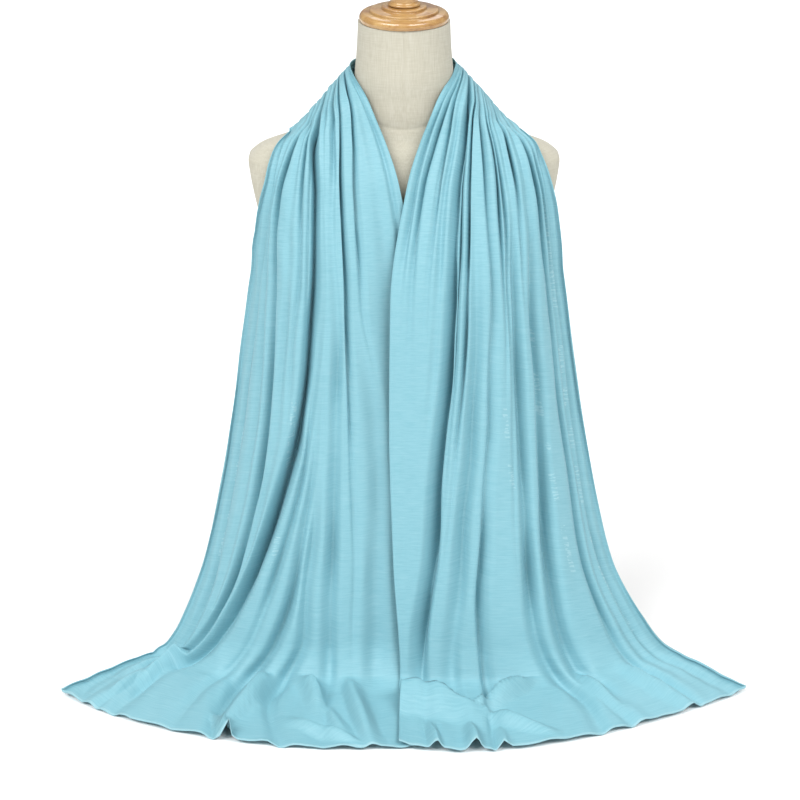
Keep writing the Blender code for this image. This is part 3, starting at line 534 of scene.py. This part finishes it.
RIGHT_FOLDS = (
    ("neckline roll", (61, 44, 28, 11, -6, -8, -6, -1, 1, 2, 2),
     (2, 6, 8, 7, 1, 0, 0, 0, 0, 0, 0), 7, 8, 0.4, 0.2),
    ("lapel dip", (63, 49, 35, 19, 6, 4, 4, 4, 5, 6, 8),
     (2, 11, 16, 13, 3, 0, 0, 0, 0, 0, 0), 6, 8, 0.25, 0.3),
    ("second slot", (66, 56, 49, 37, 24, 18, 14, 9, 10, 11, 14),
     (6, 9, 12, 10, 2, 0, 0, 0, 0, 0, 0), 5, 6, 0.25, 0.2),
    ("inner soft", (69, 62, 57, 46, 37, 28, 20, 12, 13, 15, 20),
     (1, 2, 4, 6, 5, 2, 0, 0, 0, 0, 0), 9, 9, 0.6, 0),
    ("main valley", (72, 69, 65, 56, 48, 37, 26, 16, 16, 19, 25),
     (9, 16, 19, 18, 26, 29, 23, 18, 13, 5, 1), 8, 12, 0.25, 0.4),
    ("broad dip", (75, 73, 69, 63, 58, 48, 36, 25, 25, 27, 32),
     (1, 1, 4, 11, 13, 5, 1, 0, 0, 0, 0), 5, 7, 0.4, 0.2),
    ("thin slot", (78, 76, 74, 71, 69, 59, 46, 35, 34, 36, 42),
     (9, 14, 12, 12, 16, 5, 1, 0, 0, 0, 0), 4, 5, 0.25, 0.3),
    ("belly dip", (80, 80, 80, 79, 81, 76, 64, 56, 54, 56, 64),
     (1, 1, 1, 1, 6, 13, 13, 10, 7, 4, 2), 12, 11, 0.4, 0.1),
    ("roll edge", (83, 83, 87, 92, 101, 97, 92, 91, 93, 97, 104),
     (9, 12, 11, 9, 6, 7, 14, 17, 16, 12, 4), 7, 8, 0.25, -0.4),
    ("fan slot", (86, 87, 94, 104, 112, 115, 118, 125, 132, 142, 160),
     (2, 4, 9, 10, 4, 0, 0, 0, 0, 0, 0), 4, 5, 0.3, 0.2),
    ("fan groove", (89, 91, 98, 109, 118, 124, 130, 141, 152, 165, 190),
     (4, 6, 6, 8, 6, 3, 1, 0, 0, 0, 0), 5, 6, 0.4, 0.1),
    ("wide valley", (93, 96, 104, 116, 126, 134, 143, 157, 173, 190, 222),
     (1, 1, 3, 3, 11, 15, 15, 14, 12, 11, 4), 11, 10, 0.4, 0.2),
    ("shoulder cut", (97, 101, 111, 124, 136, 146, 155, 169, 185, 203, 238),
     (9, 15, 18, 10, 1, 0, 0, 0, 0, 0, 0), 5, 6, 0.25, 0.3),
    ("outer valley", (102, 107, 119, 135, 146, 156, 168, 183, 199, 218, 260),
     (2, 2, 3, 4, 10, 18, 21, 18, 15, 14, 5), 10, 13, 0.35, 0.3),
    ("shoulder slot", (108, 114, 128, 148, 164, 184, 211, 243, 264, 286, 338),
     (8, 13, 15, 14, 9, 9, 12, 12, 10, 8, 4), 6, 8, 0.3, 0.3),
    ("arm groove", (116, 124, 137, 155, 171, 192, 222, 258, 280, 303, 362),
     (2, 3, 5, 8, 5, 3, 3, 3, 3, 2, 0), 7, 8, 0.5, 0.1),
    ("outer curl", (126, 134, 142, 159, 177, 199, 232, 271, 294, 317, 382),
     (5, 5, 4, 4, 5, 6, 7, 7, 6, 5, 1), 7, 7, 0.5, 0),
)
# How far the folds between the valleys stand off at each level, so that the valleys stay clear
# of the form and of the surface (mm)
LEVEL_LIFT = (2, 6, 6, 3, 0, 0, 0, 1, 6, 12, 3)

# Folds that lie on the surface near the hem. Each row: name, from (x, y), to (x, y), height,
# half width towards the hem, half width away from it, how far the crest leans back, and how far
# the line bows towards the hem (mm)
LEFT_FLOOR_RIDGES = (
    ("corner hook", (-226, -50), (-312, -130), 20, 9, 18, 6, -8),
    ("outer ripple", (-300, -70), (-372, -190), 9, 10, 16, 2, 6),
    ("long sweep", (-142, -92), (-214, -250), 18, 10, 20, 4, 12),
    ("inner sweep", (-150, -104), (-96, -264), 17, 9, 18, 4, -16),
    ("inner ripple", (-70, -118), (-26, -310), 15, 9, 20, 3, 8),
    ("second ripple", (-112, -150), (-56, -276), 9, 8, 14, 2, 8),
    ("hem crease", (-136, -232), (-40, -284), 13, 6, 14, 4, 6),
    ("hem pinch", (-216, -206), (-184, -300), 24, 6, 8, 5, 3),
)
RIGHT_FLOOR_RIDGES = (
    ("flap lip", (-60, -184), (106, -238), 26, 30, 6, 10, -8),
    ("pinched fold", (160, -138), (50, -240), 20, 10, 11, 7, 10),
    ("lower pinch", (56, -204), (178, -262), 13, 9, 12, 5, 8),
    ("first flute", (26, -236), (40, -318), 10, 8, 9, 2, 0),
    ("second flute", (72, -240), (82, -320), 12, 9, 10, 2, 0),
    ("third flute", (104, -242), (114, -318), 10, 7, 8, 2, 0),
    ("outer flute", (182, -80), (282, -238), 15, 11, 18, 3, 10),
    ("corner flute", (232, -86), (352, -196), 12, 10, 16, 3, 8),
)


def unit(vectors):
    """The same directions with a length of one."""
    return vectors / (np.linalg.norm(vectors, axis=-1, keepdims=True) + 1e-12)


def through_four(places, across):
    """The cubic through four places at thirds of the way across: Lagrange's four terms."""
    t = np.broadcast_to(across, (len(places), np.shape(across)[-1]))[..., None]
    first, second, third, fourth = (places[:, k][:, None, :] for k in range(4))
    return (
        first * (1 - 3 * t) * (2 - 3 * t) * (1 - t) / 2
        + second * 9 * t * (2 - 3 * t) * (1 - t) / 2
        - third * 9 * t * (1 - 3 * t) * (1 - t) / 2
        + fourth * t * (1 - 3 * t) * (2 - 3 * t) / 2
    )


def side_shares(levels, rows, side):
    """The share across the cloth, 0 to 1, at which each fold of one side runs at each level."""
    fine = np.linspace(0, 1, 201)
    curves = side * through_four(np.array(levels), fine)[..., 0]
    wanted = np.array([row[1] for row in rows]) * MM
    return np.array([[np.interp(x, curve, fine) for x, curve in zip(row, curves)] for row in wanted])


def valley(distance, inner, outer, soft):
    """A valley one deep: (1 - q)^2, where q is 0 at its rounded bottom and 1 at its lips."""
    t = np.abs(np.where(distance < 0, distance / inner, distance / outer))
    rounded = (np.sqrt(t * t + soft * soft) - soft) / (np.sqrt(1 + soft * soft) - soft)
    return np.clip(1 - rounded, 0, 1) ** 2


# Each ripple is shorter or longer than asked by a factor between the first two
RIPPLE_LEAST, RIPPLE_MOST = 0.6, 1.7
RIPPLE_CREST = 1.6


def waves(across, along, count, across_length, along_length, seed):
    """Uneven ripples, about 1 high: a sum of sines of random length, direction and phase."""
    rng = np.random.default_rng(seed)
    total = np.zeros(np.broadcast(across, along).shape)
    for _ in range(count):
        across_pace = 2 * np.pi / (across_length * rng.uniform(RIPPLE_LEAST, RIPPLE_MOST))
        along_pace = 2 * np.pi / (along_length * rng.uniform(RIPPLE_LEAST, RIPPLE_MOST))
        along_pace *= rng.choice((-1, 1))
        total += np.sin(across * across_pace + along * along_pace + rng.uniform(0, 2 * np.pi))
    return total / math.sqrt(count / 2) / RIPPLE_CREST


RIDGE_ROUNDING = 0.35
RIDGE_SLOPE = 0.65
RIDGE_TAPER = 1.2


def floor_ridges(points, rows):
    """Height of the folds on the surface and their lean back. Across its line each has a sharp
    crest and straight slopes, and along it the height tapers to both ends."""
    height = np.zeros(points.shape[:-1])
    lean = np.zeros(points.shape)
    for _, start, end, high, hemward, backward, back, bow in rows:
        start = np.array(start) * MM
        along = np.array(end) * MM - start
        length = np.linalg.norm(along)
        along = along / length
        toward_hem = np.array([along[1], -along[0]])
        if toward_hem[1] > 0:
            toward_hem = -toward_hem
        offset = points[..., :2] - start
        share = offset @ along / length
        off = offset @ toward_hem - bow * MM * np.clip(4 * share * (1 - share), 0, 1)
        profile = valley(off, backward * MM, hemward * MM, RIDGE_ROUNDING) ** RIDGE_SLOPE
        taper = np.sin(np.pi * np.clip(share, 0, 1)) ** RIDGE_TAPER
        bump = profile * taper
        height = np.maximum(height, high * MM * bump)
        lean[..., :2] -= toward_hem * (back * MM * bump ** 2)[..., None]
    return height, lean


PROBE = 0.5 * MM
CLEARING_STEPS, CLEARING_STEP = 6, 4 * MM


def form_level(points):
    """Zero on the form's surface, more than zero outside it: the super-ellipse's own norm."""
    section = form_section(points[..., 2].ravel()).reshape(points.shape[:-1] + (4,))
    half_width, front, back, square = (section[..., k] for k in range(4))
    y = points[..., 1] - NECK_CENTRE_Y * neck_share(points[..., 2])
    depth = np.where(y < 0, front, back)
    across = np.abs(points[..., 0] / half_width) ** square
    along = np.abs(y / depth) ** square
    return (across + along + 1e-12) ** (1 / square) - 1


def clear_of_form(points, clearance):
    """Each point that is too near the form moves straight out of it, in a few small steps."""
    for _ in range(CLEARING_STEPS):
        level = form_level(points)
        gradient = np.stack([
            (form_level(points + PROBE * axis) - form_level(points - PROBE * axis)) / (2 * PROBE)
            for axis in np.eye(3)
        ], axis=-1)
        size = np.linalg.norm(gradient, axis=-1) + 1e-9
        short = np.clip(clearance - level / size, 0, CLEARING_STEP)
        points = points + (short / size)[..., None] * gradient
    return points


# From the left hem round the nape to the right hem: the levels, how far along the cloth each
# of them lies, and the rows of the mesh between them
levels = np.array(LEFT_LEVELS[::-1] + NAPE_LEVELS + RIGHT_LEVELS)
falls = len(LEVEL_NAMES)
level_steps = np.linalg.norm(np.diff(levels.mean(axis=1), axis=0), axis=1)
level_lengths = np.concatenate([[0.0], np.cumsum(level_steps)])
left_crest = level_lengths[falls - 1]
right_crest = level_lengths[-falls]
rows_between = ROWS_IN_STRETCH[::-1] + (ROWS_AT_NAPE,) * (len(NAPE_LEVELS) + 1) + ROWS_IN_STRETCH
along = np.concatenate([
    np.linspace(start, end, count, endpoint=False)
    for start, end, count in zip(level_lengths[:-1], level_lengths[1:], rows_between)
] + [level_lengths[-1:]])
along_rows = along[:, None]

# Each valley's share across the cloth and its depth at every level. Round the nape the two
# sides' valleys run into each other in the order of their rows.
left_share = side_shares(LEFT_LEVELS, LEFT_FOLDS, -1)
right_share = side_shares(RIGHT_LEVELS, RIGHT_FOLDS, 1)
left_depth = np.array([row[2] for row in LEFT_FOLDS]) * MM
right_depth = np.array([row[2] for row in RIGHT_FOLDS]) * MM
round_nape = np.linspace(0, 1, len(NAPE_LEVELS) + 2)[1:-1]
nape_share = left_share[:, :1] * (1 - round_nape) + right_share[:, :1] * round_nape
nape_depth = left_depth[:, :1] * (1 - round_nape) + right_depth[:, :1] * round_nape
fold_share = np.concatenate([left_share[:, ::-1], nape_share, right_share], axis=1)
fold_depth = np.concatenate([left_depth[:, ::-1], nape_depth, right_depth], axis=1)
left_shape = np.array([row[3:] for row in LEFT_FOLDS], float)
right_shape = np.array([row[3:] for row in RIGHT_FOLDS], float)

# The columns of the mesh. Each valley keeps a column of its own along its bottom, and the two
# outermost columns lie past the edges by the cloth that the curls take up.
knots = smooth_curve(level_lengths, fold_share.T, along)
level_curves = through_four(levels, np.linspace(0, 1, 101))
level_widths = np.linalg.norm(np.diff(level_curves, axis=1), axis=-1).sum(axis=1)
width_here = smooth_curve(level_lengths, level_widths, along)[:, None]
from_crest = np.maximum(left_crest - along, along - right_crest)[:, None]
curl_growth = smooth_step((from_crest - CURL_GROWS_FROM) / CURL_GROWS_OVER)
curl_share = CURL_AT_CREST + (1 - CURL_AT_CREST) * curl_growth
knots = np.concatenate([
    -INNER_CURL / 2 / width_here, knots, 1 + OUTER_CURL * CURL_TAKE_UP * curl_share / width_here,
], axis=1)
gaps = np.diff(knots, axis=1).mean(axis=0)
counts = COLUMNS_LEAST + np.floor(gaps * (COLUMNS - COLUMNS_LEAST * len(gaps))).astype(int)
fold_column = np.cumsum(counts)[:-1]
across_share = [knots[:, :1]]
for k, count in enumerate(counts):
    part = np.arange(1, count + 1) / count
    across_share.append(knots[:, k:k + 1] * (1 - part) + knots[:, k + 1:k + 2] * part)
across_share = np.concatenate(across_share, axis=1)


def plain_cloth(places, shares):
    """The cloth with no folds, at lengths from the left hem and shares across."""
    return through_four(smooth_curve(level_lengths, levels, places), shares)


# The plain cloth with its directions down, across and out, and then the valleys, each cut in
# by its depth and as wide as the cloth is there
HALF_STEP = 2 * MM
base = plain_cloth(along, across_share)
below = plain_cloth(along + HALF_STEP, across_share)
down_way = below - plain_cloth(along - HALF_STEP, across_share)
across_way = unit(np.gradient(base, axis=1))
outward = unit(np.cross(down_way, across_way))
widths = np.linalg.norm(np.diff(base, axis=1), axis=-1)
walked = np.concatenate([np.zeros((len(along), 1)), np.cumsum(widths, axis=1)], axis=1)
bust_width = level_widths[falls - 1 - LEVEL_NAMES.index("bust")]
spread = np.clip(width_here / bust_width, SPREAD_LEAST, SPREAD_MOST)
rightness = np.clip((along - left_crest) / (right_crest - left_crest), 0, 1)[:, None]
dips = np.zeros_like(walked)
shift = np.zeros_like(walked)
for k, column in enumerate(fold_column):
    depth = smooth_curve(level_lengths, fold_depth[k], along)[:, None]
    uneven = waves(0.0, along_rows, count=5, across_length=1.0, along_length=0.16, seed=40 + k)
    depth = depth * (1 + DEPTH_UNEVENNESS * uneven)
    shape = left_shape[k] * (1 - rightness) + right_shape[k] * rightness
    inner, outer, soft, lean = (shape[:, j:j + 1] for j in range(4))
    swaying = waves(0.0, along_rows, count=4, across_length=1.0, along_length=0.20, seed=80 + k)
    sway = SWAY * swaying * spread
    offset = walked - walked[:, column:column + 1] - sway
    dip = depth * valley(offset, inner * MM * spread, outer * MM * spread, soft)
    dips += dip ** DIP_POWER
    shift += lean * dip
dips = dips ** (1 / DIP_POWER)
drift = DRIFT * waves(walked, along_rows, count=14, across_length=0.035, along_length=0.22, seed=7)
lift_levels = np.array(LEVEL_LIFT[::-1] + (0,) * len(NAPE_LEVELS) + LEVEL_LIFT) * MM
lift = smooth_curve(level_lengths, lift_levels, along)[:, None]
scarf_points = base + (lift + drift - dips)[..., None] * outward + shift[..., None] * across_way

# The folds on the surface, and the hem that flutes where the overlock has stretched it
on_left = (along < (left_crest + right_crest) / 2)[:, None]
floor_share = np.clip((LYING_HEIGHT - base[..., 2]) / LYING_BLEND, 0, 1)
left_height, left_lean = floor_ridges(scarf_points, LEFT_FLOOR_RIDGES)
right_height, right_lean = floor_ridges(scarf_points, RIGHT_FLOOR_RIDGES)
ridge_height = np.where(on_left, left_height, right_height) * floor_share
ridge_lean = np.where(on_left[..., None], left_lean, right_lean) * floor_share[..., None]
hem_distance = np.minimum(along, along[-1] - along)[:, None]
near_hem = np.clip(1 - hem_distance / HEM_FLUTE_REACH, 0, 1) ** 2
fluting = waves(walked, along_rows * 0, count=9, across_length=0.055, along_length=1.0, seed=11)
flutes = HEM_FLUTE * near_hem * np.clip(fluting, 0, 2) * floor_share
crumpling = waves(walked, along_rows, count=12, across_length=0.07, along_length=0.09, seed=21)
scarf_points = scarf_points + ridge_lean
scarf_points[..., 2] += ridge_height + flutes + CRUMPLE * crumpling * floor_share

# The selvedges curl outwards, as cut jersey does. In each row the strip beyond a column that
# keeps its place, rest, is laid on a circle: foot is where the strip starts, way and up are the
# cloth's directions there, and bent is the angle reached, in radians.
rolled = unit(np.gradient(scarf_points, axis=1))
down_built = np.gradient(scarf_points, axis=0)
facing = unit(np.cross(down_built, rolled))
steps_built = np.linalg.norm(np.diff(scarf_points, axis=1), axis=-1)
from_inner = np.concatenate([np.zeros((len(along), 1)), np.cumsum(steps_built, axis=1)], axis=1)
from_outer = from_inner[:, -1:] - from_inner
columns_all = np.arange(scarf_points.shape[1])
rows_all = np.arange(len(along))
for distance, sense, size, seed in (
    (from_inner, -1, INNER_CURL, 31), (from_outer, 1, OUTER_CURL * curl_share, 32),
):
    uneven = waves(0.0, along_rows, count=5, across_length=1.0, along_length=0.30, seed=seed)
    strip = size * (1 - CURL_UNEVENNESS + CURL_UNEVENNESS * uneven)
    rest = np.where(distance >= strip, columns_all * sense, -len(columns_all)).max(axis=1) * sense
    rim = rest + sense
    far = distance[rows_all, rest]
    near = distance[rows_all, rim]
    part = ((far - strip[:, 0]) / (far - near))[:, None]
    foot, way, up = (
        grid[rows_all, rest] * (1 - part) + grid[rows_all, rim] * part
        for grid in (scarf_points, rolled, facing)
    )
    into = np.clip(strip - distance, 0, None)
    bent = into / CURL_RADIUS
    reach = (CURL_RADIUS * np.sin(bent))[..., None] * (sense * unit(way))[:, None, :]
    rise = (CURL_RADIUS * (1 - np.cos(bent)))[..., None] * unit(up)[:, None, :]
    scarf_points = np.where((into > 0)[..., None], foot[:, None, :] + reach + rise, scarf_points)

near_form = (scarf_points[..., 2] > FORM_FOOT_CLEAR)[..., None]
cleared = clear_of_form(scarf_points, FORM_CLEARANCE + JERSEY / 2)
scarf_points = np.where(near_form, cleared, scarf_points)
scarf_points[..., 2] = np.maximum(scarf_points[..., 2], JERSEY)

cloth_uv = np.stack(np.broadcast_arrays(across_share * SCARF_WIDTH, along_rows), axis=-1)
scarf = grid_piece("jersey_scarf", scarf_points, cloth_uv)
wall = scarf.modifiers.new("jersey", "SOLIDIFY")
wall.thickness = JERSEY
wall.offset = 0.0

AQUA_LIGHT = (0.204, 0.418, 0.480)
AQUA_MID = (0.164, 0.370, 0.434)
AQUA_PALE = (0.40, 0.60, 0.64)
AQUA_THREAD = (0.30, 0.50, 0.55)
JERSEY_RELIEF = 0.12 * MM
STREAK_LEVEL, STREAK_SHARE = 0.62, 0.10
JERSEY_CLOUD_SHARE = 0.25
# Where the needles have dropped stitches: distance across, from and to along the cloth (metres)
LADDERS = (
    (0.298, 0.20, 0.47), (0.434, 0.24, 0.50), (0.272, 1.46, 1.56), (0.366, 1.28, 1.66),
    (0.436, 1.2, 1.75),
)
LADDER_HALF_WIDTH = 0.006
TICK_LEVEL, PATCH_LEVEL, DROPPED_SHARE = 0.54, 0.48, 0.34
THREAD_LEAST, THREAD_RANGE = 0.25, 0.6

jersey, tree, shader = new_material("aqua_jersey")
uv = tree.nodes.new("ShaderNodeUVMap")
uv.uv_map = "cloth_metres"
cloth_place = uv.outputs["UV"]
split = tree.nodes.new("ShaderNodeSeparateXYZ")
tree.links.new(cloth_place, split.inputs["Vector"])
across_uv, along_uv = split.outputs["X"], split.outputs["Y"]
course = noise(tree, cloth_place, scale=700, roughness=0.6, stretch=(0.04, 1, 1))
streak = noise(tree, cloth_place, scale=420, roughness=0.6, stretch=(0.04, 1, 1))
loops = noise(tree, cloth_place, scale=1500, detail=1, stretch=(1, 0.6, 1))
cloud = noise(tree, cloth_place, scale=12)
knit = blend(tree, course, loops, share=0.7)
base = colours(tree, knit, ((0.36, AQUA_MID), (0.56, AQUA_LIGHT)))
base = mixed(tree, times(tree, above(tree, streak, STREAK_LEVEL), STREAK_SHARE), base, AQUA_PALE)
base = mixed(tree, times(tree, cloud, JERSEY_CLOUD_SHARE), base, AQUA_LIGHT)

# A ladder shows as short pale ticks, in patches along its strip
ticks = noise(tree, cloth_place, scale=420, detail=1, stretch=(0.12, 1, 1))
ladder = 0.0
for across_here, start, end in LADDERS:
    strip = number(tree, "COMPARE", across_uv, across_here, LADDER_HALF_WIDTH)
    stretch = number(tree, "COMPARE", along_uv, (start + end) / 2, (end - start) / 2)
    ladder = number(tree, "MAXIMUM", times(tree, strip, stretch), ladder)
patches = noise(tree, cloth_place, scale=28, detail=1)
ticked = times(tree, ladder, above(tree, ticks, TICK_LEVEL))
dropped = times(tree, ticked, above(tree, patches, PATCH_LEVEL))
base = mixed(tree, times(tree, dropped, DROPPED_SHARE), base, AQUA_PALE)

# The overlock's paler thread covers the last few millimetres at both hems
to_hem = number(tree, "MINIMUM", along_uv, number(tree, "SUBTRACT", float(along[-1]), along_uv))
overlock = number(tree, "LESS_THAN", to_hem, OVERLOCK_WIDTH)
stitches = noise(tree, cloth_place, scale=600, detail=1, stretch=(1, 0.3, 1))
thread = number(tree, "MULTIPLY_ADD", stitches, THREAD_RANGE, THREAD_LEAST)
base = mixed(tree, times(tree, overlock, thread), base, AQUA_THREAD)
tree.links.new(base, shader.inputs["Base Color"])
set_inputs(shader, {
    "Roughness": 0.55, "Specular IOR Level": 0.35, "Sheen Weight": 0.05, "Sheen Roughness": 0.4,
})
raised = number(tree, "MULTIPLY_ADD", stitches, overlock, knit)
relief = number(tree, "MULTIPLY_ADD", dropped, -0.8, raised)
bumped(tree, shader, relief, distance=JERSEY_RELIEF, strength=0.3)
scarf.data.materials.append(jersey)
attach(scarf, "root")
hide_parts("scarf_left_fall", "scarf_nape", "scarf_right_fall")


# The studio
# A white floor and a white world, soft suns high on both sides of the front with the left ones
# stronger, a weak one behind, and the camera a little above the part, as in the photograph.
FLOOR_REACH = 6.0
FLOOR_WHITE = (0.95, 0.95, 0.95, 1.0)
WORLD_STRENGTH = 0.32
# Each light: name, azimuth, elevation, strength, softness (angles in degrees)
SOFTBOXES = (
    ("far_left_light", -56, 42, 1.0, 22), ("left_light", -32, 44, 1.6, 22),
    ("right_light", 28, 44, 1.3, 22), ("far_right_light", 54, 42, 0.9, 22),
    ("back_light", 172, 48, 0.7, 40),
)
SENSOR_WIDTH, LENS = 36.0, 112.14
CAMERA_PLACE = (-0.0046, -2.8, 1.200)
CAMERA_TILT = math.radians(72.5)

floor_points = np.array([
    [[x, y, 0.0] for x in (-FLOOR_REACH, FLOOR_REACH)] for y in (-FLOOR_REACH, FLOOR_REACH)
])
floor = grid_piece("floor", floor_points, floor_points[..., :2])
floor_finish, tree, shader = new_material("white_floor")
set_inputs(shader, {"Base Color": FLOOR_WHITE, "Roughness": 0.9})
floor.data.materials.append(floor_finish)

world = bpy.data.worlds.new("studio")
world.use_nodes = True
set_inputs(world.node_tree.nodes["Background"], {
    "Color": (1.0, 1.0, 1.0, 1.0), "Strength": WORLD_STRENGTH,
})
bpy.context.scene.world = world


def soft_sun(name, azimuth, elevation, strength, softness):
    """A wide soft light from far off. Azimuth is 0 straight in front and 90 on the right."""
    lamp = bpy.data.lights.new(name, "SUN")
    lamp.energy = strength
    lamp.angle = math.radians(softness)
    turn = math.radians(azimuth)
    rise = math.radians(elevation)
    toward = Vector((
        math.sin(turn) * math.cos(rise), -math.cos(turn) * math.cos(rise), math.sin(rise),
    ))
    holder = bpy.data.objects.new(name, lamp)
    holder.rotation_euler = toward.to_track_quat("Z", "Y").to_euler()
    bpy.context.scene.collection.objects.link(holder)


for softbox in SOFTBOXES:
    soft_sun(*softbox)

camera_data = bpy.data.cameras.new("camera")
camera_data.sensor_width = SENSOR_WIDTH
camera_data.lens = LENS
camera = bpy.data.objects.new("camera", camera_data)
camera.location = CAMERA_PLACE
camera.rotation_euler = (CAMERA_TILT, 0.0, 0.0)
bpy.context.scene.collection.objects.link(camera)
bpy.context.scene.camera = camera
bpy.context.scene.view_settings.view_transform = "Standard"
